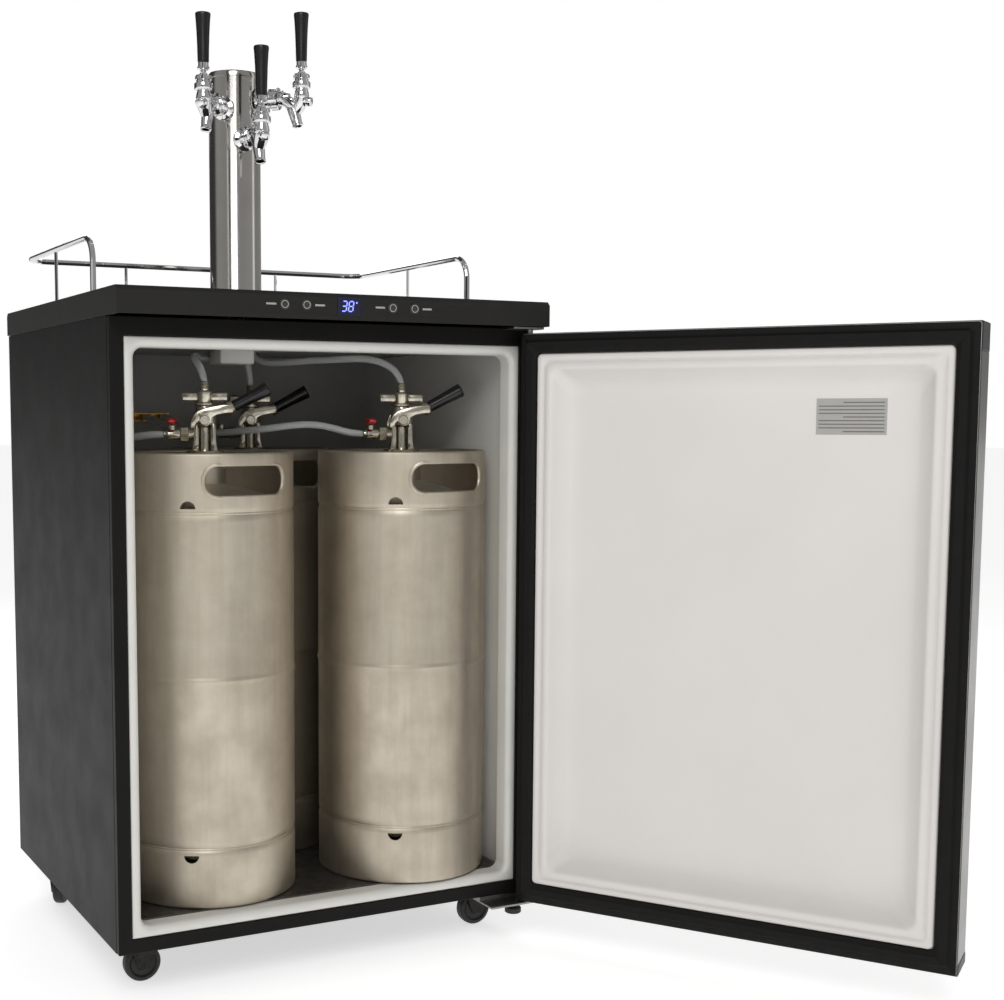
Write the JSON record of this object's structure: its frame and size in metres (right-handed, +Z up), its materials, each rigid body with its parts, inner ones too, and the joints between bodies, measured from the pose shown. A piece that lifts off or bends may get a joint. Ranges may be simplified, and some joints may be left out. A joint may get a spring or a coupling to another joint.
{
  "type": "kegerator",
  "caption": "Free-standing beer keg refrigerator on casters, with a hinged door, a guard rail on top and a draught tower whose faucets are fed from kegs inside.",
  "frame": {"origin": "on the floor, below the middle of the cabinet front face", "axes": "+X to the right seen from the front, +Y from the front to the back, +Z up"},
  "size_m": [0.9569, 1.0638, 1.3305],
  "materials": {
    "cabinet_black_paint": "satin powder-coated sheet steel",
    "foam": "cut polyurethane foam, hidden between liner and panels",
    "liner_plastic": "smooth vacuum-formed plastic",
    "floor_steel": "dull rolled steel plate",
    "compressor_paint": "black painted pressed steel",
    "worktop_plastic": "moulded plastic with a fine grain",
    "display_window": "polished window over a blue segment display",
    "button_plastic": "moulded button caps",
    "rail_chrome": "polished plated rod",
    "tower_steel": "polished stainless tube",
    "faucet_chrome": "polished plated brass",
    "tap_handle_plastic": "glossy moulded knob",
    "keg_steel": "satin stainless steel, finely brushed around",
    "coupler_chrome": "plated die casting, slightly worn",
    "coupler_grip_plastic": "moulded grip",
    "gas_valve_red": "dipped red lever",
    "beer_hose": "clear flexible tube",
    "gas_hose": "clear flexible tube",
    "manifold_brass": "turned brass",
    "door_steel": "brushed stainless sheet",
    "door_cap_plastic": "moulded plastic",
    "door_liner_plastic": "smooth glossy vacuum-formed plastic",
    "gasket_rubber": "soft extruded profile",
    "hinge_zinc": "zinc-plated pressed steel",
    "caster_zinc": "zinc-plated pressed steel",
    "caster_wheel": "hard rubber tread on a moulded wheel",
    "brake_plastic": "moulded pedal"
  },
  "bodies": {
    "cabinet": {"side_panel_left": "cabinet_black_paint", "side_panel_right": "cabinet_black_paint", "front_frame": "cabinet_black_paint", "back_panel": "cabinet_black_paint", "base_pan": "cabinet_black_paint", "insulation_foam": "foam", "inner_liner": "liner_plastic", "floor_plate": "floor_steel", "compressor": "compressor_paint", "worktop": "worktop_plastic", "control_window": "display_window", "guard_rail": "rail_chrome", "tower_column": "tower_steel", "faucet_left": "faucet_chrome", "faucet_middle": "faucet_chrome", "faucet_right": "faucet_chrome", "keg_left": "keg_steel", "keg_right": "keg_steel", "keg_rear": "keg_steel", "coupler_left": "coupler_chrome", "coupler_right": "coupler_chrome", "coupler_rear": "coupler_chrome", "beer_hose_left": "beer_hose", "beer_hose_right": "beer_hose", "beer_hose_rear": "beer_hose", "gas_hose_left": "gas_hose", "gas_hose_right": "gas_hose", "gas_hose_rear": "gas_hose", "gas_manifold": "manifold_brass", "hinge_top": "hinge_zinc", "hinge_bottom": "hinge_zinc"},
    "door": {"door_skin": "door_steel", "door_top_cap": "door_cap_plastic", "door_liner": "door_liner_plastic", "door_gasket": "gasket_rubber"},
    "tap_left": {"tap_lever_left": "faucet_chrome", "tap_handle_left": "tap_handle_plastic"},
    "tap_middle": {"tap_lever_middle": "faucet_chrome", "tap_handle_middle": "tap_handle_plastic"},
    "tap_right": {"tap_lever_right": "faucet_chrome", "tap_handle_right": "tap_handle_plastic"},
    "coupler_grip_left": {"coupler_lever_left": "coupler_grip_plastic"},
    "coupler_grip_right": {"coupler_lever_right": "coupler_grip_plastic"},
    "coupler_grip_rear": {"coupler_lever_rear": "coupler_grip_plastic"},
    "gas_valve_left": {"gas_valve_lever_left": "gas_valve_red"},
    "gas_valve_right": {"gas_valve_lever_right": "gas_valve_red"},
    "key_set": {"button_set": "button_plastic"},
    "key_down": {"button_down": "button_plastic"},
    "key_light": {"button_light": "button_plastic"},
    "key_power": {"button_power": "button_plastic"},
    "fork_front_left": {"caster_fork_front_left": "caster_zinc"},
    "wheel_front_left": {"caster_wheel_front_left": "caster_wheel"},
    "fork_front_right": {"caster_fork_front_right": "caster_zinc"},
    "wheel_front_right": {"caster_wheel_front_right": "caster_wheel"},
    "fork_rear_left": {"caster_fork_rear_left": "caster_zinc"},
    "wheel_rear_left": {"caster_wheel_rear_left": "caster_wheel"},
    "fork_rear_right": {"caster_fork_rear_right": "caster_zinc"},
    "wheel_rear_right": {"caster_wheel_rear_right": "caster_wheel"},
    "brake_front_left": {"brake_lever_front_left": "brake_plastic"},
    "brake_front_right": {"brake_lever_front_right": "brake_plastic"}
  },
  "joints": [
    {"name": "door_hinge", "type": "hinge", "parent": "cabinet", "child": "door", "pos_m": [0.2861, -0.0203, 0.46], "axis": [0, 0, 1], "range_deg": [-123.8, 0]},
    {"name": "tap_left_pull", "type": "hinge", "parent": "cabinet", "child": "tap_left", "pos_m": [-0.07566, 0.27634, 1.224], "axis": [0.7071, -0.7071, 0], "range_deg": [0, 38]},
    {"name": "tap_middle_pull", "type": "hinge", "parent": "cabinet", "child": "tap_middle", "pos_m": [0, 0.245, 1.18], "axis": [1, 0, 0], "range_deg": [0, 38]},
    {"name": "tap_right_pull", "type": "hinge", "parent": "cabinet", "child": "tap_right", "pos_m": [0.07566, 0.27634, 1.241], "axis": [0.7071, 0.7071, 0], "range_deg": [0, 38]},
    {"name": "coupler_left_latch", "type": "hinge", "parent": "cabinet", "child": "coupler_grip_left", "pos_m": [-0.129, 0.138, 0.741], "axis": [0.342, 0.9397, 0], "range_deg": [0, 45]},
    {"name": "coupler_right_latch", "type": "hinge", "parent": "cabinet", "child": "coupler_grip_right", "pos_m": [0.1585, 0.116, 0.741], "axis": [0.342, 0.9397, 0], "range_deg": [0, 45]},
    {"name": "coupler_rear_latch", "type": "hinge", "parent": "cabinet", "child": "coupler_grip_rear", "pos_m": [0.015, 0.335, 0.741], "axis": [0.342, 0.9397, 0], "range_deg": [0, 45]},
    {"name": "gas_valve_left_turn", "type": "hinge", "parent": "cabinet", "child": "gas_valve_left", "pos_m": [-0.17035, 0.15305, 0.738], "axis": [0, 0, 1], "range_deg": [-90, 0]},
    {"name": "gas_valve_right_turn", "type": "hinge", "parent": "cabinet", "child": "gas_valve_right", "pos_m": [0.11715, 0.13105, 0.738], "axis": [0, 0, 1], "range_deg": [-90, 0]},
    {"name": "key_set_press", "type": "slide", "parent": "cabinet", "child": "key_set", "axis": [0, 1, 0], "range_m": [0, 0.0008], "stiffness_N_per_m": 400},
    {"name": "key_down_press", "type": "slide", "parent": "cabinet", "child": "key_down", "axis": [0, 1, 0], "range_m": [0, 0.0008], "stiffness_N_per_m": 400},
    {"name": "key_light_press", "type": "slide", "parent": "cabinet", "child": "key_light", "axis": [0, 1, 0], "range_m": [0, 0.0008], "stiffness_N_per_m": 400},
    {"name": "key_power_press", "type": "slide", "parent": "cabinet", "child": "key_power", "axis": [0, 1, 0], "range_m": [0, 0.0008], "stiffness_N_per_m": 400},
    {"name": "swivel_front_left", "type": "hinge", "parent": "cabinet", "child": "fork_front_left", "pos_m": [-0.254, 0.084, 0.07], "axis": [0, 0, 1], "continuous": true},
    {"name": "roll_front_left", "type": "hinge", "parent": "fork_front_left", "child": "wheel_front_left", "pos_m": [-0.245, 0.084, 0.025], "axis": [0, 1, 0], "continuous": true},
    {"name": "swivel_front_right", "type": "hinge", "parent": "cabinet", "child": "fork_front_right", "pos_m": [0.254, 0.084, 0.07], "axis": [0, 0, 1], "continuous": true},
    {"name": "roll_front_right", "type": "hinge", "parent": "fork_front_right", "child": "wheel_front_right", "pos_m": [0.263, 0.084, 0.025], "axis": [0, 1, 0], "continuous": true},
    {"name": "swivel_rear_left", "type": "hinge", "parent": "cabinet", "child": "fork_rear_left", "pos_m": [-0.254, 0.455, 0.07], "axis": [0, 0, 1], "continuous": true},
    {"name": "roll_rear_left", "type": "hinge", "parent": "fork_rear_left", "child": "wheel_rear_left", "pos_m": [-0.2585, 0.44721, 0.025], "axis": [0.866, -0.5, 0], "continuous": true},
    {"name": "swivel_rear_right", "type": "hinge", "parent": "cabinet", "child": "fork_rear_right", "pos_m": [0.254, 0.455, 0.07], "axis": [0, 0, 1], "continuous": true},
    {"name": "roll_rear_right", "type": "hinge", "parent": "fork_rear_right", "child": "wheel_rear_right", "pos_m": [0.2585, 0.44721, 0.025], "axis": [0.866, 0.5, 0], "continuous": true},
    {"name": "brake_front_left_press", "type": "hinge", "parent": "fork_front_left", "child": "brake_front_left", "pos_m": [-0.234, 0.084, 0.054], "axis": [0, 1, 0], "range_deg": [0, 20]},
    {"name": "brake_front_right_press", "type": "hinge", "parent": "fork_front_right", "child": "brake_front_right", "pos_m": [0.274, 0.084, 0.054], "axis": [0, 1, 0], "range_deg": [0, 20]}
  ]
}
